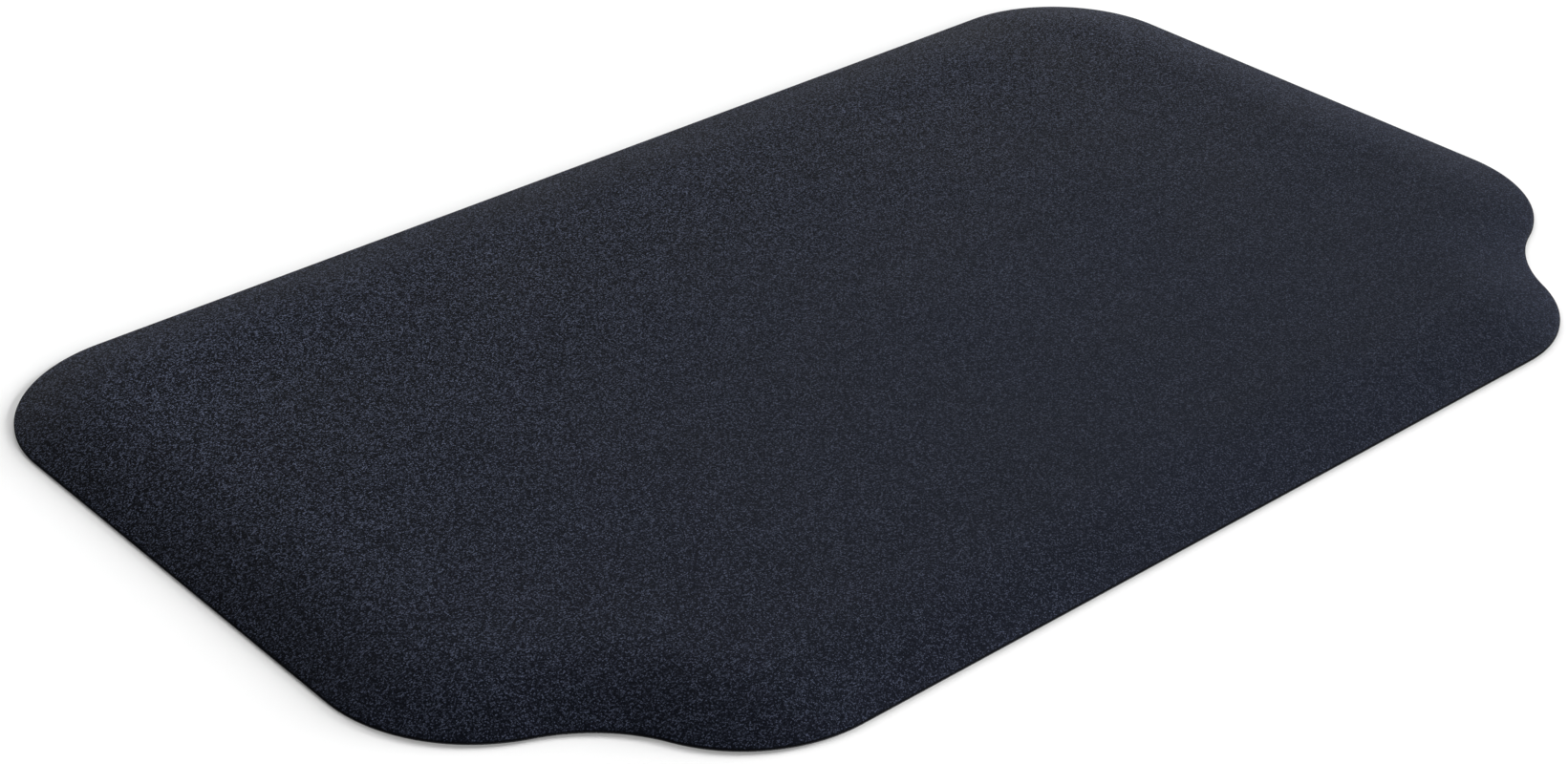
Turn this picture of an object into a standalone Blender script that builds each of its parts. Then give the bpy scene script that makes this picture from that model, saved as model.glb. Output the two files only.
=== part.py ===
"""Anti-fatigue standing mat: a foam slab laminated between a grained cover and an anti-slip base sheet.

Metres, +Z up. The mat lies on the plane z = 0 with the origin under the middle of its bounding box. X runs
along the straight back edge (+Y side), and the scalloped edge that the user steps on from is the -Y side.

Every piece is a stack of rings. A ring is the mat's outline moved inwards by an inset, at a height. The
outline is made of tangent arcs, so moving it inwards only changes the arcs' radii, and all rings match.
"""

import math

import bmesh
import bpy
from mathutils import Vector

# Outline, seen from above
LENGTH = 0.813
WIDTH = 0.508
BACK_CORNER_RADIUS = 0.082
SIDE_LOBE_RADIUS = 0.087
SIDE_LOBE_TURN = math.radians(67)
HOLLOW_RADIUS = 0.085
FRONT_LOBE_RADIUS = 0.080
FRONT_LOBE_TURN = math.radians(64)
ARC_STEP = math.radians(7.5)

# Section, from the floor up
THICKNESS = 0.0127
BASE_THICKNESS = 0.0007
FILM_THICKNESS = 0.0002
COVER_THICKNESS = 0.0009
GAP = 0.0003

# Edge
RIM_HEIGHT = 0.0016
RIM_ROUNDING = 0.0004
BASE_CHAMFER = 0.0002
BORDER_WIDTH = 0.060
WELD_WIDTH = 0.006
BORDER_STEPS = 6
ROUNDING_STEPS = 2

# The hollow's turn brings the outline from the side edge's direction to the front edge's, a right angle
# away. The two reaches are how far a whole scallop runs along the side edge and along the front edge.
HOLLOW_TURN = SIDE_LOBE_TURN + FRONT_LOBE_TURN - math.pi / 2
SIDE_REACH = (
    SIDE_LOBE_RADIUS * math.sin(SIDE_LOBE_TURN)
    + HOLLOW_RADIUS * (math.sin(SIDE_LOBE_TURN) - math.cos(FRONT_LOBE_TURN))
    + FRONT_LOBE_RADIUS * (1 - math.cos(FRONT_LOBE_TURN))
)
SIDE_STRAIGHT = WIDTH - BACK_CORNER_RADIUS - SIDE_REACH

# Heights and depths of the layers. A depth is measured square to the cover's outer face.
WELD_LEVEL = BASE_THICKNESS + GAP
CORE_BOTTOM = WELD_LEVEL + FILM_THICKNESS + GAP
FILM_DEPTH = COVER_THICKNESS + GAP
CORE_DEPTH = FILM_DEPTH + FILM_THICKNESS + GAP
CORE_INSET = WELD_WIDTH + 2 * GAP


def clear_scene():
    for old in list(bpy.data.objects):
        bpy.data.objects.remove(old, do_unlink=True)


# ---------------------------------------------------------------- outline

def right_hand(heading):
    """The unit vector to the right of a heading, an angle anticlockwise from +X."""
    return Vector((math.sin(heading), -math.cos(heading)))


def right_half(inset):
    """The outline from the back edge round the right-hand end to the front edge, moved in by inset.

    Each stage is a straight length, then an arc: a positive turn bends to the right, round a lobe.
    """
    stages = (
        (0, BACK_CORNER_RADIUS, math.pi / 2),
        (SIDE_STRAIGHT, SIDE_LOBE_RADIUS, SIDE_LOBE_TURN),
        (0, HOLLOW_RADIUS, -HOLLOW_TURN),
        (0, FRONT_LOBE_RADIUS, FRONT_LOBE_TURN),
    )
    points = [Vector((LENGTH / 2 - BACK_CORNER_RADIUS, WIDTH / 2 - inset))]
    heading = 0.0
    for straight, radius, turn in stages:
        if straight:
            ahead = Vector((math.cos(heading), math.sin(heading)))
            points.append(points[-1] + straight * ahead)
        to_centre = radius - inset if turn > 0 else -(radius + inset)
        centre = points[-1] + to_centre * right_hand(heading)
        steps = math.ceil(abs(turn) / ARC_STEP)
        for step in range(1, steps + 1):
            points.append(centre - to_centre * right_hand(heading - turn * step / steps))
        heading -= turn
    return points


def outline(inset):
    """The whole outline, symmetric about the Y axis."""
    half = right_half(inset)
    mirrored = [Vector((-p.x, p.y)) for p in reversed(half)]
    return half + mirrored


# ---------------------------------------------------------------- section

def border(depth, first_inset):
    """(inset, height) pairs up the sloping border and onto the flat, at a depth under the outer face.

    The outer face rises from the rim as a parabola that levels out where the border meets the flat top.
    """
    rise = THICKNESS - RIM_HEIGHT
    section = []
    for step in range(BORDER_STEPS + 1):
        inset = first_inset + (BORDER_WIDTH - first_inset) * step / BORDER_STEPS
        to_go = 1 - inset / BORDER_WIDTH
        height = RIM_HEIGHT + rise * (1 - to_go ** 2)
        slope = math.atan(2 * rise * to_go / BORDER_WIDTH)
        section.append((inset + depth * math.sin(slope), height - depth * math.cos(slope)))
    return section


def rim_rounding():
    """(inset, height) pairs round the cover's outer edge, from its upright side towards the border."""
    section = []
    for step in range(ROUNDING_STEPS):
        angle = math.pi / 2 * step / ROUNDING_STEPS
        section.append((
            RIM_ROUNDING * (1 - math.cos(angle)),
            RIM_HEIGHT - RIM_ROUNDING * (1 - math.sin(angle)),
        ))
    return section


# ---------------------------------------------------------------- solids

def material(name, colour, roughness):
    made = bpy.data.materials.new(name)
    made.use_nodes = True
    shader = made.node_tree.nodes["Principled BSDF"]
    shader.inputs["Base Color"].default_value = (*colour, 1)
    shader.inputs["Roughness"].default_value = roughness
    shader.inputs["Metallic"].default_value = 0
    return made


def ring_solid(name, section, finish):
    """A closed solid from a section, a list of (inset, height): its rings are joined in order, and the
    first and last ring are closed with a flat face each."""
    mesh = bmesh.new()
    rings = []
    for inset, height in section:
        rings.append([mesh.verts.new((p.x, p.y, height)) for p in outline(inset)])
    for ring, next_ring in zip(rings, rings[1:]):
        count = len(ring)
        for i in range(count):
            j = (i + 1) % count
            mesh.faces.new((ring[i], ring[j], next_ring[j], next_ring[i]))
    mesh.faces.new(rings[0])
    mesh.faces.new(rings[-1])
    bmesh.ops.recalc_face_normals(mesh, faces=mesh.faces)
    data = bpy.data.meshes.new(name)
    mesh.to_mesh(data)
    mesh.free()
    data.materials.append(finish)
    data.shade_smooth()
    data.set_sharp_from_angle(angle=math.radians(35))
    piece = bpy.data.objects.new(name, data)
    bpy.context.scene.collection.objects.link(piece)
    return piece


def base_sheet():
    """The anti-slip sheet that lies on the floor, the full size of the mat."""
    finish = material("anti_slip_rubber", (0.020, 0.021, 0.023), 0.75)
    section = [
        (BASE_CHAMFER, 0),
        (0, BASE_CHAMFER),
        (0, BASE_THICKNESS),
    ]
    return ring_solid("base_sheet", section, finish)


def base_adhesive():
    """The hot-melt film between the base sheet and the foam, inside the welded margin."""
    finish = material("base_hot_melt_film", (0.72, 0.68, 0.58), 0.35)
    section = [
        (CORE_INSET, WELD_LEVEL),
        (CORE_INSET, WELD_LEVEL + FILM_THICKNESS),
    ]
    return ring_solid("base_adhesive", section, finish)


def foam_core():
    """The cushion: a foam slab whose edges are skived to the slope of the border."""
    finish = material("cushion_foam", (0.12, 0.12, 0.125), 0.95)
    upper = border(CORE_DEPTH, CORE_INSET)
    section = [(upper[0][0], CORE_BOTTOM)] + upper
    return ring_solid("foam_core", section, finish)


def cover_adhesive():
    """The hot-melt film that bonds the cover to the foam's slopes and top."""
    finish = material("cover_hot_melt_film", (0.72, 0.68, 0.58), 0.35)
    lower = border(FILM_DEPTH + FILM_THICKNESS, CORE_INSET)
    upper = border(FILM_DEPTH, CORE_INSET)
    return ring_solid("cover_adhesive", lower[::-1] + upper, finish)


def top_cover():
    """The grained vinyl cover. Its rim is a solid wedge, where it is heat-welded down to the base sheet."""
    finish = material("grained_vinyl", (0.026, 0.028, 0.037), 0.6)
    inner = border(COVER_THICKNESS, WELD_WIDTH)
    weld = [(inner[0][0], WELD_LEVEL), (0, WELD_LEVEL)]
    outer = rim_rounding() + border(0, RIM_ROUNDING)
    return ring_solid("top_cover", inner[::-1] + weld + outer, finish)


def build():
    clear_scene()
    base_sheet()
    base_adhesive()
    foam_core()
    cover_adhesive()
    top_cover()


build()
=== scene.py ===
"""The looks of the anti-fatigue mat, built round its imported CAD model.

Metres, +Z up, with X along the mat's straight back edge and the scalloped front edge on the -Y side. The
cover, the foam and the base sheet are each built again as a finer closed mesh in the space of its CAD solid.
The two hot-melt films keep their CAD solids and get a material.
"""

import math

import bmesh
import bpy
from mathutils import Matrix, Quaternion, Vector, noise
from mathutils.geometry import delaunay_2d_cdt


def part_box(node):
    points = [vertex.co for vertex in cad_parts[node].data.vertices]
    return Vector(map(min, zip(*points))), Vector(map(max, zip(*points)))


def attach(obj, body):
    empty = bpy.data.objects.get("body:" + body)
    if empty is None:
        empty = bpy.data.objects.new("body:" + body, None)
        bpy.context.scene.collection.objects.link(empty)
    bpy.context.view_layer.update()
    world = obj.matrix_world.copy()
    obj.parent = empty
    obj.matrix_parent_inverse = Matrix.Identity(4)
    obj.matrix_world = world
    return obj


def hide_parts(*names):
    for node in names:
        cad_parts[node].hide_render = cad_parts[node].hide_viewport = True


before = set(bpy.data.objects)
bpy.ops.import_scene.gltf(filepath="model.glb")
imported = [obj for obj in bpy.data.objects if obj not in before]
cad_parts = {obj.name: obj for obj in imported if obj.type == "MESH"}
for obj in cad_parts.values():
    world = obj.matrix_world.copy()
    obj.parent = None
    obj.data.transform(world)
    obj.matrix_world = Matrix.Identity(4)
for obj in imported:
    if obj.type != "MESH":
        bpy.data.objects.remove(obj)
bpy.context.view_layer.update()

# Sizes that the frame gives
COVER_LOW, COVER_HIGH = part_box("top_cover")
LENGTH = COVER_HIGH.x - COVER_LOW.x
WIDTH = COVER_HIGH.y - COVER_LOW.y
THICKNESS = COVER_HIGH.z
BASE_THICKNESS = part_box("base_sheet")[1].z
FOAM_LOW, FOAM_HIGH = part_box("foam_core")
FOAM_DEPTH = THICKNESS - FOAM_HIGH.z
FOAM_INSET = FOAM_LOW.x - COVER_LOW.x

# The outline's arcs, as in the CAD source
BACK_CORNER_RADIUS = 0.082
SIDE_LOBE_RADIUS = 0.087
SIDE_LOBE_TURN = math.radians(67)
HOLLOW_RADIUS = 0.085
FRONT_LOBE_RADIUS = 0.080
FRONT_LOBE_TURN = math.radians(64)
HOLLOW_TURN = SIDE_LOBE_TURN + FRONT_LOBE_TURN - math.pi / 2
SIDE_REACH = (
    SIDE_LOBE_RADIUS * math.sin(SIDE_LOBE_TURN)
    + HOLLOW_RADIUS * (math.sin(SIDE_LOBE_TURN) - math.cos(FRONT_LOBE_TURN))
    + FRONT_LOBE_RADIUS * (1 - math.cos(FRONT_LOBE_TURN))
)

# The section, as in the CAD source, but with the weld closed to a hairline
COVER_THICKNESS = 0.0009
RIM_HEIGHT = 0.0016
RIM_ROUNDING = 0.0004
BASE_CHAMFER = 0.0002
BORDER_WIDTH = 0.060
WELD_WIDTH = 0.006
WELD_GAP = 0.00005
WELD_LEVEL = BASE_THICKNESS + WELD_GAP

# Fineness of the meshes. The loose points inside a ring keep a share of their spacing away from it.
OUTLINE_STEP = 0.0035
COVER_SPACING = 0.0028
FOAM_SPACING = 0.008
EDGE_SHARE = 0.6
ROUNDING_STEPS = 5
COVER_BORDER_STEPS = 24
LINING_BORDER_STEPS = 6
FOAM_BORDER_STEPS = 12
SHARP_ANGLE = math.radians(35)
MERGE_DISTANCE = 1e-7

# Unevenness of the laminated cover: how wide each kind of lump is, and how far it stands out
SWELL_WIDTH = 0.110
SWELL_HEIGHT = 0.00012
RIPPLE_LENGTH = 0.060
RIPPLE_WIDTH = 0.018
RIPPLE_HEIGHT = 0.00003
PIMPLE_WIDTH = 0.0055
PIMPLE_HEIGHT = 0.000012

# Grip pips under the base sheet. Their middles keep a margin from the sheet's plain edge.
PIP_HEIGHT = 0.0004
PIP_RADIUS = 0.0030
PIP_TIP_RADIUS = 0.0024
PIP_PITCH = 0.012
PIP_SIDES = 10
PIP_MARGIN = 1.4 * PIP_RADIUS

# The cover's finish. Each pair of colours is a deeper and a paler one, which the faint streaks mix. The
# summits' paler colours are partly the grain's own tone and partly painted glints. The summit share is how
# much of the summits' colour the grain has on average. The rim is plain below one height, grained above
# another, and changes in between; its plain band is a painted shade along the edge.
PEBBLE_SIZE = 0.0007
PEBBLE_RELIEF = 0.00035
SUMMIT_SHARE = 0.16
VALLEY_COLOURS = ((0.0021, 0.0025, 0.0041), (0.0027, 0.0032, 0.0053))
SUMMIT_TONE_AND_GLINT_COLOURS = ((0.067, 0.079, 0.122), (0.079, 0.093, 0.144))
DUST_COLOUR = (0.20, 0.21, 0.22)
# Painted shade: the rim's plain band gets a near-black colour for the dark line of shade along the edge.
EDGE_SHADE_COLOUR = (0.0030, 0.0032, 0.0040)
EDGE_SHADE_BELOW = RIM_HEIGHT - 0.0002
GRAINED_ABOVE = RIM_HEIGHT + 0.0003

# Camera: the way back from the target, the lens in millimetres and the sensor's width, also in millimetres
CAMERA_AZIMUTH = math.radians(-41.25)
CAMERA_ELEVATION = math.radians(30.84)
CAMERA_ROLL = math.radians(0.175)
CAMERA_DISTANCE = 1.540
CAMERA_TARGET = Vector((-0.0727, -0.0120, 0))
CAMERA_LENS = 67.9
CAMERA_SENSOR = 36.0

# Studio: a weak light from all round, a backdrop as bright as the lit floor, and the floor's half width and
# how far it lies below the mat
SKY_LIGHT = 0.15
BACKDROP_LIGHT = 1.05
FLOOR_REACH = 12.0
FLOOR_DROP = 0.0001


# ---------------------------------------------------------------- outline

def right_hand(heading):
    """The unit vector to the right of a heading, an angle anticlockwise from +X."""
    return Vector((math.sin(heading), -math.cos(heading)))


def right_half(inset):
    """The outline moved in by inset, from the middle of the back edge round the right-hand end to the middle
    of the front edge. A stage is a straight length and then an arc, which bends to the right round a lobe."""
    stages = (
        (LENGTH / 2 - BACK_CORNER_RADIUS, BACK_CORNER_RADIUS, math.pi / 2),
        (WIDTH - BACK_CORNER_RADIUS - SIDE_REACH, SIDE_LOBE_RADIUS, SIDE_LOBE_TURN),
        (0, HOLLOW_RADIUS, -HOLLOW_TURN),
        (0, FRONT_LOBE_RADIUS, FRONT_LOBE_TURN),
    )
    points = [Vector((0, WIDTH / 2 - inset))]
    heading = 0.0
    for straight, radius, turn in stages:
        start = points[-1]
        ahead = Vector((math.cos(heading), math.sin(heading)))
        steps = math.ceil(straight / OUTLINE_STEP)
        points += [start + ahead * straight * step / steps for step in range(1, steps + 1)]
        to_centre = radius - inset if turn > 0 else -(radius + inset)
        centre = points[-1] + to_centre * right_hand(heading)
        steps = math.ceil(radius * abs(turn) / OUTLINE_STEP)
        for step in range(1, steps + 1):
            points.append(centre - to_centre * right_hand(heading - turn * step / steps))
        heading -= turn
    end = points[-1]
    steps = math.ceil(end.x / OUTLINE_STEP)
    points += [Vector((end.x * (1 - step / steps), end.y)) for step in range(1, steps + 1)]
    return points


def outline(inset):
    """The whole outline, symmetric about the Y axis."""
    half = right_half(inset)
    mirrored = [Vector((-p.x, p.y)) for p in reversed(half[1:-1])]
    return half + mirrored


def points_inside(inset, spacing):
    """Points in staggered rows, all of them inside the outline moved in by inset. On its right half the
    outline comes forward all the way, so each row meets it once."""
    half = right_half(inset)
    row_step = spacing * math.sqrt(3) / 2
    rows = int(WIDTH / row_step)
    points = []
    for row in range(-rows // 2, rows // 2 + 1):
        y = row * row_step
        for behind, before in zip(half, half[1:]):
            if before.y <= y < behind.y:
                share = (behind.y - y) / (behind.y - before.y)
                reach = behind.x + (before.x - behind.x) * share
                shift = spacing / 2 * (row % 2)
                first = math.ceil((-reach - shift) / spacing)
                last = math.floor((reach - shift) / spacing)
                points += [Vector((column * spacing + shift, y)) for column in range(first, last + 1)]
    return points


# ---------------------------------------------------------------- section

def border(depth, first_inset, steps):
    """(inset, height) pairs up the sloping border and onto the flat, at a depth under the outer face.

    The outer face rises from the rim as a parabola that levels out where the border meets the flat top.
    """
    rise = THICKNESS - RIM_HEIGHT
    section = []
    for step in range(steps + 1):
        inset = first_inset + (BORDER_WIDTH - first_inset) * step / steps
        to_go = 1 - inset / BORDER_WIDTH
        height = RIM_HEIGHT + rise * (1 - to_go ** 2)
        slope = math.atan(2 * rise * to_go / BORDER_WIDTH)
        section.append((inset + depth * math.sin(slope), height - depth * math.cos(slope)))
    return section


def rim_rounding(steps):
    """(inset, height) pairs round the cover's outer edge, from its upright side towards the border."""
    section = []
    for step in range(steps):
        angle = math.pi / 2 * step / steps
        section.append((
            RIM_ROUNDING * (1 - math.cos(angle)),
            RIM_HEIGHT - RIM_ROUNDING * (1 - math.sin(angle)),
        ))
    return section


# ---------------------------------------------------------------- mesh

def loft(mesh, section):
    """Joins a ring for each (inset, height) in order, and returns the first and the last ring."""
    rings = [[mesh.verts.new((p.x, p.y, height)) for p in outline(inset)] for inset, height in section]
    for ring, next_ring in zip(rings, rings[1:]):
        join(mesh, ring, next_ring)
    return rings[0], rings[-1]


def join(mesh, ring, next_ring):
    """Joins two rings that have the same number of corners with a band of four-sided faces."""
    count = len(ring)
    for i in range(count):
        j = (i + 1) % count
        mesh.faces.new((ring[i], ring[j], next_ring[j], next_ring[i]))


def fill(mesh, ring, loose=(), holes=()):
    """Fills a ring with even triangles that pass through the loose points inside it and leave the holes open.
    The outline runs clockwise, and the triangulation wants its loops anticlockwise, as the holes are. It says
    for each triangle which loops lie round it, so loop 0 alone means inside the ring and in no hole."""
    loops = [ring[::-1], *holes]
    corners = [corner for loop in loops for corner in loop] + list(loose)
    faces = []
    first = 0
    for loop in loops:
        faces.append(list(range(first, first + len(loop))))
        first += len(loop)
    flat = [corner.co.xy for corner in corners]
    inside_only = 1
    _, _, triangles, sources, _, loops_round = delaunay_2d_cdt(flat, [], faces, inside_only, MERGE_DISTANCE)
    for triangle, inside in zip(triangles, loops_round):
        if max(inside) == 0:
            mesh.faces.new([corners[sources[corner][0]] for corner in triangle])


def fine_cap(mesh, ring, inset, spacing):
    """Closes a ring at an inset with a fine flat face, so that its surface can be given a relief."""
    height = ring[0].co.z
    clear = inset + spacing * EDGE_SHARE
    loose = [mesh.verts.new((p.x, p.y, height)) for p in points_inside(clear, spacing)]
    fill(mesh, ring, loose)


def settle(mesh):
    """Gives a foam-filled surface the shallow unevenness of a laminated sheet. It runs out towards the rim.
    Each kind of lump reads the noise at another height, 0, 3 or 7, so they don't follow each other."""
    rise = THICKNESS - RIM_HEIGHT
    for vert in mesh.verts:
        share = min(max((vert.co.z - RIM_HEIGHT) / rise, 0), 1)
        place = Vector((vert.co.x, vert.co.y, 0))
        swell = noise.noise(place / SWELL_WIDTH)
        ripple = noise.noise(Vector((place.x / RIPPLE_LENGTH, place.y / RIPPLE_WIDTH, 3)))
        pimple = noise.noise(place / PIMPLE_WIDTH + Vector((0, 0, 7)))
        vert.co.z += share * (SWELL_HEIGHT * swell + RIPPLE_HEIGHT * ripple + PIMPLE_HEIGHT * pimple)


def piece(name, mesh, finish):
    """An object of the mesh and its material, shaded smooth except where it bends sharply."""
    bmesh.ops.recalc_face_normals(mesh, faces=mesh.faces)
    data = bpy.data.meshes.new(name)
    mesh.to_mesh(data)
    mesh.free()
    data.materials.append(finish)
    data.shade_smooth()
    data.set_sharp_from_angle(angle=SHARP_ANGLE)
    made = bpy.data.objects.new(name, data)
    bpy.context.scene.collection.objects.link(made)
    return made


# ---------------------------------------------------------------- material helpers

def new_material(name):
    """A material with its Principled shader, and the object coordinates that all of its patterns use."""
    made = bpy.data.materials.new(name)
    made.use_nodes = True
    shader = made.node_tree.nodes["Principled BSDF"]
    place = made.node_tree.nodes.new("ShaderNodeTexCoord").outputs["Object"]
    return made, shader, place


def link(source, socket):
    """Joins a node's output to another node's input."""
    socket.id_data.links.new(source, socket)


def scaled(place, x, y, z):
    """The coordinates multiplied by a factor along each axis."""
    node = place.id_data.nodes.new("ShaderNodeMapping")
    node.inputs["Scale"].default_value = (x, y, z)
    link(place, node.inputs["Vector"])
    return node.outputs["Vector"]


def cloudy(place, size, detail=2.0):
    """Noise from 0 to 1, with lumps of about the size."""
    node = place.id_data.nodes.new("ShaderNodeTexNoise")
    node.inputs["Scale"].default_value = 1 / size
    node.inputs["Detail"].default_value = detail
    link(place, node.inputs["Vector"])
    return node.outputs["Fac"]


def cells(place, size, feature="F1"):
    """A cell pattern with cells of about the size: the distance from each cell's middle, rounded off with
    SMOOTH_F1, or from its edge with DISTANCE_TO_EDGE."""
    node = place.id_data.nodes.new("ShaderNodeTexVoronoi")
    node.feature = feature
    node.inputs["Scale"].default_value = 1 / size
    link(place, node.inputs["Vector"])
    return node.outputs["Distance"]


def chance(distance):
    """A random number from 0 to 1 for each cell of the pattern that the distance belongs to."""
    node = distance.id_data.nodes.new("ShaderNodeSeparateColor")
    link(distance.node.outputs["Color"], node.inputs["Color"])
    return node.outputs["Red"]


def along(place, axis):
    """How far along an axis of the object a point lies."""
    node = place.id_data.nodes.new("ShaderNodeSeparateXYZ")
    link(place, node.inputs["Vector"])
    return node.outputs[axis]


def ranged(value, old, new=(0, 1)):
    """The value, moved from an old range to a new one and held inside it. A range may run downwards."""
    node = value.id_data.nodes.new("ShaderNodeMapRange")
    for name, number in zip(("From Min", "From Max", "To Min", "To Max"), (*old, *new)):
        node.inputs[name].default_value = number
    link(value, node.inputs["Value"])
    return node.outputs["Result"]


def calculated(operation, first, second):
    """One step of arithmetic on a pattern. The second value is a number or another pattern."""
    node = first.id_data.nodes.new("ShaderNodeMath")
    node.operation = operation
    link(first, node.inputs[0])
    if isinstance(second, (int, float)):
        node.inputs[1].default_value = second
    else:
        link(second, node.inputs[1])
    return node.outputs["Value"]


def added(first, second):
    return calculated("ADD", first, second)


def multiplied(first, second):
    return calculated("MULTIPLY", first, second)


def to_power(value, power):
    return calculated("POWER", value, power)


def mixed(share, first, second):
    """A colour between two colours, each given as numbers or as another node's output. A Mix node has sockets
    for several kinds of value, and the colours' are inputs 6 and 7 and output 2."""
    node = share.id_data.nodes.new("ShaderNodeMix")
    node.data_type = "RGBA"
    link(share, node.inputs["Factor"])
    for socket, colour in ((node.inputs[6], first), (node.inputs[7], second)):
        if isinstance(colour, tuple):
            socket.default_value = (*colour, 1)
        else:
            link(colour, socket)
    return node.outputs[2]


def bump(shader, height, depth):
    """Adds a relief to the shader: a height of 1 stands the depth above a height of 0."""
    node = height.id_data.nodes.new("ShaderNodeBump")
    node.inputs["Distance"].default_value = depth
    link(height, node.inputs["Height"])
    link(node.outputs["Normal"], shader.inputs["Normal"])


# ---------------------------------------------------------------- materials

def pebbles(place):
    """The height of the embossed grain, from 0 in its valleys to 1. A few pebbles are tall, most are low."""
    pebble = cells(place, PEBBLE_SIZE)
    stature = to_power(chance(pebble), 3.0)
    return multiplied(ranged(pebble, (0.45, 0.75), (1, 0)), stature)


def painted_glint_strength(place):
    """How strongly the grain's colour follows its height, a painted strength of glints and relief shade that
    follows how the light falls across the mat: most at the back left, least at the front right.
    """
    to_left = ranged(along(place, "X"), (-0.34, -0.02), (0.35, 0.0))
    to_back = to_power(ranged(along(place, "Y"), (-0.20, 0.20)), 2.0)
    return added(to_left, ranged(to_back, (0, 1), (0.47, 1.20)))


def dust(place):
    """1 on scattered specks of dust, in a quarter of the cells of a wide pattern, and 0 elsewhere."""
    speck = cells(place, size=0.030)
    chosen = ranged(chance(speck), (0.75, 0.76))
    return multiplied(ranged(speck, (0.010, 0.014), (1, 0)), chosen)


def grained_vinyl():
    """Matt blue-black vinyl with an embossed grain of uneven pebbles, whose pale summits are partly their own
    tone and partly painted glints, with the painted glints and shade crispest at the back left, faint streaks
    along the mat and a little dust. The welded rim is plain and painted darker, a painted shade along the
    edge."""
    made, shader, place = new_material("cover_vinyl")
    height = pebbles(place)
    # The grain's colour runs from the valley colours to the summit colours by height. The summits' paler
    # colour is partly their own tone and partly painted glints, scaled by a painted glint strength that
    # changes across the mat.
    shade = added(multiplied(added(height, -SUMMIT_SHARE), painted_glint_strength(place)), SUMMIT_SHARE)
    patch = cloudy(place, size=0.11, detail=3.0)
    streak = cloudy(scaled(place, x=1.0, y=8.0, z=8.0), size=0.12)
    paleness = ranged(added(patch, streak), (0.7, 1.3))
    grain = mixed(shade, mixed(paleness, *VALLEY_COLOURS), mixed(paleness, *SUMMIT_TONE_AND_GLINT_COLOURS))
    dusty = mixed(dust(place), grain, DUST_COLOUR)
    # Painted shade: below one height the rim is painted a plain near-black, fading into the grain just above
    # the rim's top, which draws a dark outline of shade along the edge.
    edge_shade = ranged(along(place, "Z"), (EDGE_SHADE_BELOW, GRAINED_ABOVE), (1, 0))
    link(mixed(edge_shade, dusty, EDGE_SHADE_COLOUR), shader.inputs["Base Color"])
    rough = added(ranged(height, (0, 1), (0.62, 0.40)), ranged(patch, (0.3, 0.7), (-0.04, 0.04)))
    link(rough, shader.inputs["Roughness"])
    shader.inputs["Specular IOR Level"].default_value = 0.007
    shader.inputs["Specular Tint"].default_value = (0.66, 0.74, 1.0, 1)
    bump(shader, height, depth=PEBBLE_RELIEF)
    return made


def anti_slip_rubber():
    """Charcoal rubber with a fine crumb, and the tips of its pips rubbed paler and smoother."""
    made, shader, place = new_material("base_rubber")
    patch = cloudy(place, size=0.05, detail=4.0)
    crumb = cloudy(place, size=0.0011, detail=3.0)
    body = mixed(patch, (0.012, 0.0125, 0.014), (0.024, 0.025, 0.027))
    tip = ranged(along(place, "Z"), (0, PIP_HEIGHT / 2), (1, 0))
    rubbed = multiplied(tip, ranged(crumb, (0.35, 0.65), (0.1, 0.9)))
    link(mixed(rubbed, body, (0.050, 0.051, 0.053)), shader.inputs["Base Color"])
    rough = added(ranged(crumb, (0.2, 0.8), (0.88, 0.72)), multiplied(rubbed, -0.12))
    link(rough, shader.inputs["Roughness"])
    shader.inputs["Specular IOR Level"].default_value = 0.30
    bump(shader, crumb, depth=0.00006)
    return made


def cushion_foam():
    """Dark closed-cell foam: small cells of uneven size, their hollows painted darker than their walls as
    painted shade, with soft grey variation through the slab.
    """
    made, shader, place = new_material("foam_cells")
    bubble = cells(place, size=0.0011, feature="SMOOTH_F1")
    patch = cloudy(place, size=0.04, detail=3.0)
    wall = ranged(bubble, (0.15, 0.7))
    # Painted shade: the middles of the cells, their hollows, are coloured darker than the walls.
    hollow_shade = mixed(patch, (0.040, 0.040, 0.042), (0.060, 0.060, 0.063))
    skin = mixed(patch, (0.105, 0.105, 0.110), (0.135, 0.135, 0.140))
    link(mixed(wall, hollow_shade, skin), shader.inputs["Base Color"])
    link(ranged(wall, (0, 1), (0.98, 0.86)), shader.inputs["Roughness"])
    shader.inputs["Specular IOR Level"].default_value = 0.25
    bump(shader, wall, depth=0.00018)
    return made


def hot_melt_film(name):
    """Milky hot-melt glue: a cooled web with thick and thin places."""
    made, shader, place = new_material(name)
    web = cells(place, size=0.004, feature="DISTANCE_TO_EDGE")
    flow = cloudy(place, size=0.02, detail=4.0)
    thick = added(ranged(web, (0, 0.12), (1, 0)), ranged(flow, (0.35, 0.65), (0, 0.6)))
    link(mixed(thick, (0.52, 0.49, 0.41), (0.78, 0.74, 0.63)), shader.inputs["Base Color"])
    link(ranged(thick, (0, 1), (0.42, 0.24)), shader.inputs["Roughness"])
    bump(shader, thick, depth=0.00005)
    return made


def studio_floor():
    """A plain pale floor with a barely visible unevenness in its paint."""
    made, shader, place = new_material("studio_floor")
    paint = mixed(cloudy(place, size=0.4), (0.88, 0.88, 0.88), (0.90, 0.90, 0.90))
    link(paint, shader.inputs["Base Color"])
    shader.inputs["Roughness"].default_value = 0.9
    shader.inputs["Specular IOR Level"].default_value = 0.1
    return made


# ---------------------------------------------------------------- pieces

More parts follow.
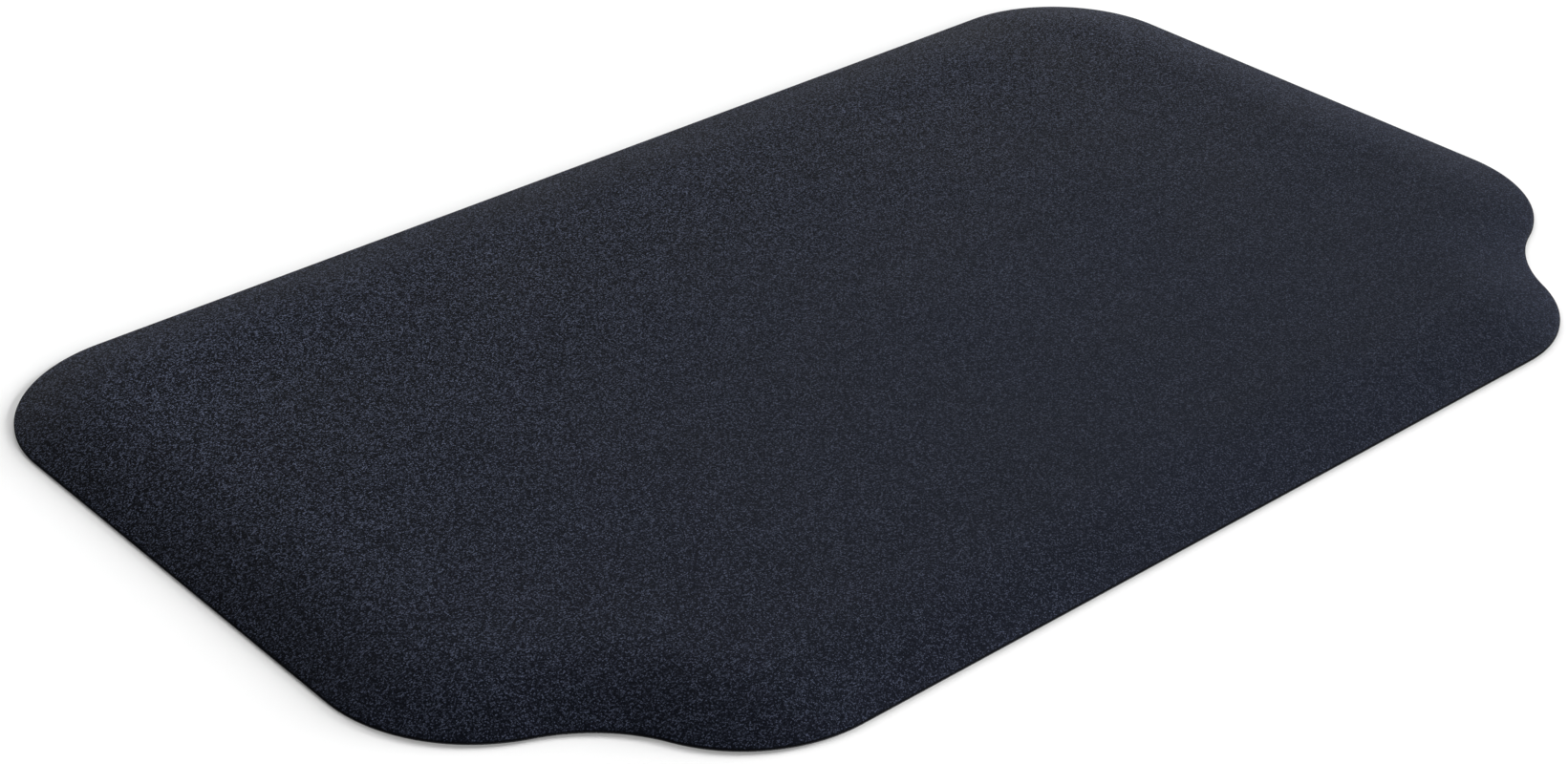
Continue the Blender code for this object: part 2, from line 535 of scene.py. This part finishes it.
def cover():
    """The grained cover: a shell of even thickness over the foam, and a solid wedge along its welded rim."""
    mesh = bmesh.new()
    outer = [(0, WELD_LEVEL)] + rim_rounding(ROUNDING_STEPS) + border(0, RIM_ROUNDING, COVER_BORDER_STEPS)
    foot, top = loft(mesh, outer)
    fine_cap(mesh, top, BORDER_WIDTH, COVER_SPACING)
    settle(mesh)
    lining = border(COVER_THICKNESS, WELD_WIDTH, LINING_BORDER_STEPS)
    weld, ceiling = loft(mesh, [(lining[0][0], WELD_LEVEL)] + lining)
    join(mesh, foot, weld)
    mesh.faces.new(ceiling)
    made = piece("cover", mesh, grained_vinyl())
    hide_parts("top_cover")
    return made


def pip(mesh, middle):
    """A round pip that stands down from the sheet to the floor. Returns the ring where it meets the sheet."""
    turns = [2 * math.pi * side / PIP_SIDES for side in range(PIP_SIDES)]
    rings = []
    for radius, height in ((PIP_RADIUS, PIP_HEIGHT), (PIP_TIP_RADIUS, 0)):
        rings.append([
            mesh.verts.new((middle.x + radius * math.cos(turn), middle.y + radius * math.sin(turn), height))
            for turn in turns
        ])
    join(mesh, rings[0], rings[1])
    mesh.faces.new(rings[1])
    return rings[0]


def base():
    """The anti-slip sheet. A plain margin under the weld lies on the floor, and pips carry the rest, which is
    raised by their height over a slope of 45 degrees."""
    mesh = bmesh.new()
    field_inset = WELD_WIDTH + PIP_HEIGHT
    section = [
        (0, BASE_THICKNESS),
        (0, BASE_CHAMFER),
        (BASE_CHAMFER, 0),
        (WELD_WIDTH, 0),
        (field_inset, PIP_HEIGHT),
    ]
    top, field = loft(mesh, section)
    mesh.faces.new(top)
    middles = points_inside(field_inset + PIP_MARGIN, PIP_PITCH)
    fill(mesh, field, holes=[pip(mesh, middle) for middle in middles])
    made = piece("base", mesh, anti_slip_rubber())
    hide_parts("base_sheet")
    return made


def foam():
    """The foam slab, skived to the slope of the border."""
    mesh = bmesh.new()
    upper = border(FOAM_DEPTH, FOAM_INSET, FOAM_BORDER_STEPS)
    bottom, top = loft(mesh, [(upper[0][0], FOAM_LOW.z)] + upper)
    mesh.faces.new(bottom)
    fine_cap(mesh, top, BORDER_WIDTH, FOAM_SPACING)
    made = piece("foam", mesh, cushion_foam())
    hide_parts("foam_core")
    return made


def films():
    """The CAD solids of the two glue films, with their material."""
    for node in ("cover_adhesive", "base_adhesive"):
        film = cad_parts[node]
        film.material_slots[0].material = hot_melt_film(node)


# ---------------------------------------------------------------- stage

def direction(azimuth, elevation):
    """The unit vector towards a place round the mat. Azimuth 0 is in front of it, at -Y, and a right angle
    is at its right, at +X."""
    flat = math.cos(elevation)
    return Vector((math.sin(azimuth) * flat, -math.cos(azimuth) * flat, math.sin(elevation)))


def camera():
    """The photographer's view, from the mat's front left."""
    back = direction(CAMERA_AZIMUTH, CAMERA_ELEVATION)
    data = bpy.data.cameras.new("camera")
    data.sensor_width = CAMERA_SENSOR
    data.lens = CAMERA_LENS
    made = bpy.data.objects.new("camera", data)
    made.location = CAMERA_TARGET + CAMERA_DISTANCE * back
    made.rotation_mode = "QUATERNION"
    made.rotation_quaternion = (-back).to_track_quat("-Z", "Y") @ Quaternion((0, 0, 1), CAMERA_ROLL)
    bpy.context.scene.collection.objects.link(made)
    bpy.context.scene.camera = made


def lamp(name, azimuth, elevation, spread, strength):
    """A distant lamp that lights mat and floor evenly. The angles are in degrees, and spread is the angle
    that its softbox takes up."""
    towards = direction(math.radians(azimuth), math.radians(elevation))
    data = bpy.data.lights.new(name, "SUN")
    data.angle = math.radians(spread)
    data.energy = strength
    made = bpy.data.objects.new(name, data)
    made.rotation_mode = "QUATERNION"
    made.rotation_quaternion = (-towards).to_track_quat("-Z", "Y")
    bpy.context.scene.collection.objects.link(made)


def floor():
    """A wide floor, a hair below the mat."""
    mesh = bmesh.new()
    bmesh.ops.create_grid(mesh, x_segments=4, y_segments=4, size=FLOOR_REACH)
    made = piece("floor", mesh, studio_floor())
    made.location.z = -FLOOR_DROP


def studio():
    """Five softboxes round the mat, most of them at its right and back, and a weak even light from all round.
    The backdrop is as white as the lit floor."""
    world = bpy.data.worlds.new("studio")
    world.use_nodes = True
    sky = world.node_tree.nodes["Background"]
    sky.inputs["Color"].default_value = (1, 1, 1, 1)
    path = world.node_tree.nodes.new("ShaderNodeLightPath")
    link(ranged(path.outputs["Is Camera Ray"], (0, 1), (SKY_LIGHT, BACKDROP_LIGHT)), sky.inputs["Strength"])
    bpy.context.scene.world = world
    lamp("front", azimuth=10, elevation=12, spread=16, strength=3.4)
    lamp("right", azimuth=80, elevation=12, spread=20, strength=5.4)
    lamp("back_right", azimuth=135, elevation=25, spread=40, strength=2.1)
    lamp("back_low", azimuth=170, elevation=15, spread=24, strength=0.8)
    lamp("back", azimuth=180, elevation=25, spread=40, strength=0.9)
    bpy.context.scene.view_settings.view_transform = "Standard"


def build():
    """Everything in the scene: the mat's pieces, which ride on its one body, and the studio round them."""
    for made in (cover(), base(), foam()):
        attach(made, "root")
    films()
    floor()
    studio()
    camera()


build()
